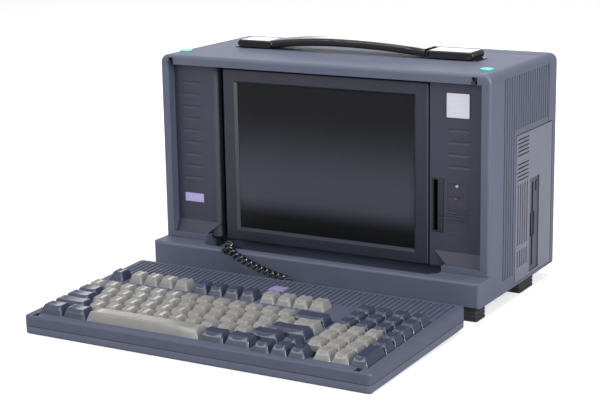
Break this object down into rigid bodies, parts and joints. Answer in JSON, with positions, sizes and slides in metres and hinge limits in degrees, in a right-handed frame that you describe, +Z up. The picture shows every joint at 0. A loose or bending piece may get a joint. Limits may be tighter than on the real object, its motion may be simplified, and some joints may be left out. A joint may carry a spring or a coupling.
{
  "type": "portable computer",
  "caption": "Lunchbox-shaped portable computer with a screen in its front, a top handle, and a separate keyboard on a curly cord that latches over the screen.",
  "frame": {"origin": "on the table, at the middle of the footprint of case and keyboard together", "axes": "+X to the user's right, +Y to the back of the case, +Z up"},
  "size_m": [0.396, 0.4408, 0.2646],
  "materials": {
    "case_plastic": "fine grained slate blue-grey moulding",
    "panel_plastic": "fine grained darker slate moulding",
    "bezel_plastic": "charcoal moulding",
    "black_plastic": "black moulding",
    "glossy_black": "glossy black",
    "light_key": "satin beige-grey keycaps",
    "dark_key": "satin slate keycaps",
    "turquoise_button": "glossy turquoise",
    "label_sheet": "printed lavender sheet, bare",
    "badge_metal": "satin silver plate, bare",
    "green_lens": "pale green translucent lens",
    "red_lens": "red translucent lens",
    "screen_glass": "smoked glass",
    "screen_backing": "panel housing with its dark face",
    "steel_sheet": "zinc plated sheet",
    "pin_steel": "turned steel",
    "cast_metal": "cast aluminium",
    "circuit_board": "green laminate with black parts",
    "black_rubber": "ribbed black rubber",
    "cord_rubber": "satin black cord jacket"
  },
  "bodies": {
    "case": {"main_shell": "case_plastic", "rear_frame": "case_plastic", "rear_panel": "steel_sheet", "case_screws": "pin_steel", "side_access_panel": "case_plastic", "left_front_panel": "panel_plastic", "right_front_panel": "panel_plastic", "badge_plate": "badge_metal", "label_plate": "label_sheet", "power_lens": "green_lens", "disk_lens": "red_lens", "card_cage": "black_plastic", "chassis": "steel_sheet", "handle_brackets": "pin_steel", "front_feet": "black_rubber", "rear_feet": "black_rubber", "disk_drive": "steel_sheet", "drive_bezel": "black_plastic", "main_board": "circuit_board", "expansion_cards": "circuit_board", "power_supply": "steel_sheet", "hard_disk": "cast_metal", "fan_frame": "black_plastic", "power_inlet": "black_plastic", "cord_gland": "black_plastic", "curly_cord": "cord_rubber"},
    "display": {"display_bezel": "bezel_plastic", "display_glass": "screen_glass", "lcd_panel": "screen_backing", "display_housing": "bezel_plastic", "display_pins": "pin_steel"},
    "keyboard": {"keyboard_bottom": "case_plastic", "keyboard_top": "case_plastic", "key_plate": "steel_sheet", "keyboard_board": "circuit_board", "keyboard_pads": "black_rubber", "keyboard_label": "label_sheet", "cord_plug": "black_plastic"},
    "left_latch": {"left_latch_button": "turquoise_button", "left_latch_hook": "black_plastic"},
    "right_latch": {"right_latch_button": "turquoise_button", "right_latch_hook": "black_plastic"},
    "left_link": {"left_handle_link": "glossy_black"},
    "strap": {"handle_strap": "glossy_black"},
    "right_link": {"right_handle_link": "glossy_black"},
    "drive_button": {"drive_eject_button": "black_plastic"},
    "card_button": {"card_eject_button": "black_plastic"},
    "fan": {"fan_rotor": "black_plastic"},
    "rocker": {"power_switch": "black_plastic"},
    "left_foot": {"left_keyboard_foot": "black_plastic"},
    "right_foot": {"right_keyboard_foot": "black_plastic"},
    "letter_keys_body": {"letter_keys": "light_key"},
    "command_keys_body": {"command_keys": "dark_key"},
    "space_bar_body": {"space_bar": "light_key"},
    "light_function_keys_body": {"light_function_keys": "light_key"},
    "dark_function_keys_body": {"dark_function_keys": "dark_key"},
    "arrow_keys_body": {"arrow_keys": "dark_key"},
    "dark_pad_keys_body": {"dark_pad_keys": "dark_key"},
    "light_pad_keys_body": {"light_pad_keys": "light_key"},
    "pad_enter_key_body": {"pad_enter_key": "dark_key"}
  },
  "joints": [
    {"name": "keyboard_stow", "type": "hinge", "parent": "case", "child": "keyboard", "pos_m": [0, 0.01643, 0.00916], "axis": [1, 0, 0], "range_deg": [-92.33, 0], "deforming": ["curly_cord"]},
    {"name": "display_tilt", "type": "hinge", "parent": "case", "child": "display", "pos_m": [0, 0.06492, 0.23], "axis": [-1, 0, 0], "range_deg": [0, 5]},
    {"name": "left_latch_press", "type": "slide", "parent": "case", "child": "left_latch", "axis": [0, 0, 1], "range_m": [-0.0015, 0], "stiffness_N_per_m": 400, "springref_m": 0.002},
    {"name": "right_latch_press", "type": "slide", "parent": "case", "child": "right_latch", "axis": [0, 0, 1], "range_m": [-0.0015, 0], "stiffness_N_per_m": 400, "springref_m": 0.002},
    {"name": "left_link_lift", "type": "hinge", "parent": "case", "child": "left_link", "pos_m": [-0.1425, 0.13142, 0.254], "axis": [0, -1, 0], "range_deg": [0, 20]},
    {"name": "strap_lift", "type": "hinge", "parent": "left_link", "child": "strap", "pos_m": [-0.1065, 0.13142, 0.254], "axis": [0, -1, 0], "range_deg": [-20, 0]},
    {"name": "right_link_lift", "type": "hinge", "parent": "case", "child": "right_link", "pos_m": [0.1385, 0.13142, 0.254], "axis": [0, 1, 0], "range_deg": [0, 15.6]},
    {"name": "drive_eject_press", "type": "slide", "parent": "case", "child": "drive_button", "axis": [-1, 0, 0], "range_m": [0, 0.003], "stiffness_N_per_m": 300, "springref_m": -0.002},
    {"name": "card_eject_press", "type": "slide", "parent": "case", "child": "card_button", "axis": [0, 1, 0], "range_m": [0, 0.003], "stiffness_N_per_m": 300, "springref_m": -0.002},
    {"name": "fan_spin", "type": "hinge", "parent": "case", "child": "fan", "pos_m": [-0.07, 0.20142, 0.186], "axis": [0, 1, 0], "continuous": true},
    {"name": "rocker_press", "type": "hinge", "parent": "case", "child": "rocker", "pos_m": [-0.12, 0.20891, 0.048], "axis": [1, 0, 0], "range_deg": [-8, 0]},
    {"name": "left_foot_fold", "type": "hinge", "parent": "keyboard", "child": "left_foot", "pos_m": [-0.15, -0.03219, 0.00837], "axis": [1, 0, 0], "range_deg": [-90, 0]},
    {"name": "right_foot_fold", "type": "hinge", "parent": "keyboard", "child": "right_foot", "pos_m": [0.15, -0.03219, 0.00837], "axis": [1, 0, 0], "range_deg": [-90, 0]},
    {"name": "letter_keys_press", "type": "slide", "parent": "keyboard", "child": "letter_keys_body", "axis": [0, -0.0406, 0.9992], "range_m": [-0.0035, 0], "stiffness_N_per_m": 7050, "springref_m": 0.0015},
    {"name": "command_keys_press", "type": "slide", "parent": "keyboard", "child": "command_keys_body", "axis": [0, -0.0406, 0.9992], "range_m": [-0.0035, 0], "stiffness_N_per_m": 1500, "springref_m": 0.0015},
    {"name": "space_bar_press", "type": "slide", "parent": "keyboard", "child": "space_bar_body", "axis": [0, -0.0406, 0.9992], "range_m": [-0.0035, 0], "stiffness_N_per_m": 300, "springref_m": 0.0015},
    {"name": "light_function_keys_press", "type": "slide", "parent": "keyboard", "child": "light_function_keys_body", "axis": [0, -0.0406, 0.9992], "range_m": [-0.0035, 0], "stiffness_N_per_m": 1200, "springref_m": 0.0015},
    {"name": "dark_function_keys_press", "type": "slide", "parent": "keyboard", "child": "dark_function_keys_body", "axis": [0, -0.0406, 0.9992], "range_m": [-0.0035, 0], "stiffness_N_per_m": 750, "springref_m": 0.0015},
    {"name": "arrow_keys_press", "type": "slide", "parent": "keyboard", "child": "arrow_keys_body", "axis": [0, -0.0406, 0.9992], "range_m": [-0.0035, 0], "stiffness_N_per_m": 600, "springref_m": 0.0015},
    {"name": "dark_pad_keys_press", "type": "slide", "parent": "keyboard", "child": "dark_pad_keys_body", "axis": [0, -0.0406, 0.9992], "range_m": [-0.0035, 0], "stiffness_N_per_m": 2100, "springref_m": 0.0015},
    {"name": "light_pad_keys_press", "type": "slide", "parent": "keyboard", "child": "light_pad_keys_body", "axis": [0, -0.0406, 0.9992], "range_m": [-0.0035, 0], "stiffness_N_per_m": 1650, "springref_m": 0.0015},
    {"name": "pad_enter_key_press", "type": "slide", "parent": "keyboard", "child": "pad_enter_key_body", "axis": [0, -0.0406, 0.9992], "range_m": [-0.0035, 0], "stiffness_N_per_m": 300, "springref_m": 0.0015}
  ],
  "couplings": [
    {"joint": "strap_lift", "follows": "left_link_lift", "ratio": -1},
    {"joint": "right_link_lift", "follows": "left_link_lift", "ratio": 0.78}
  ]
}
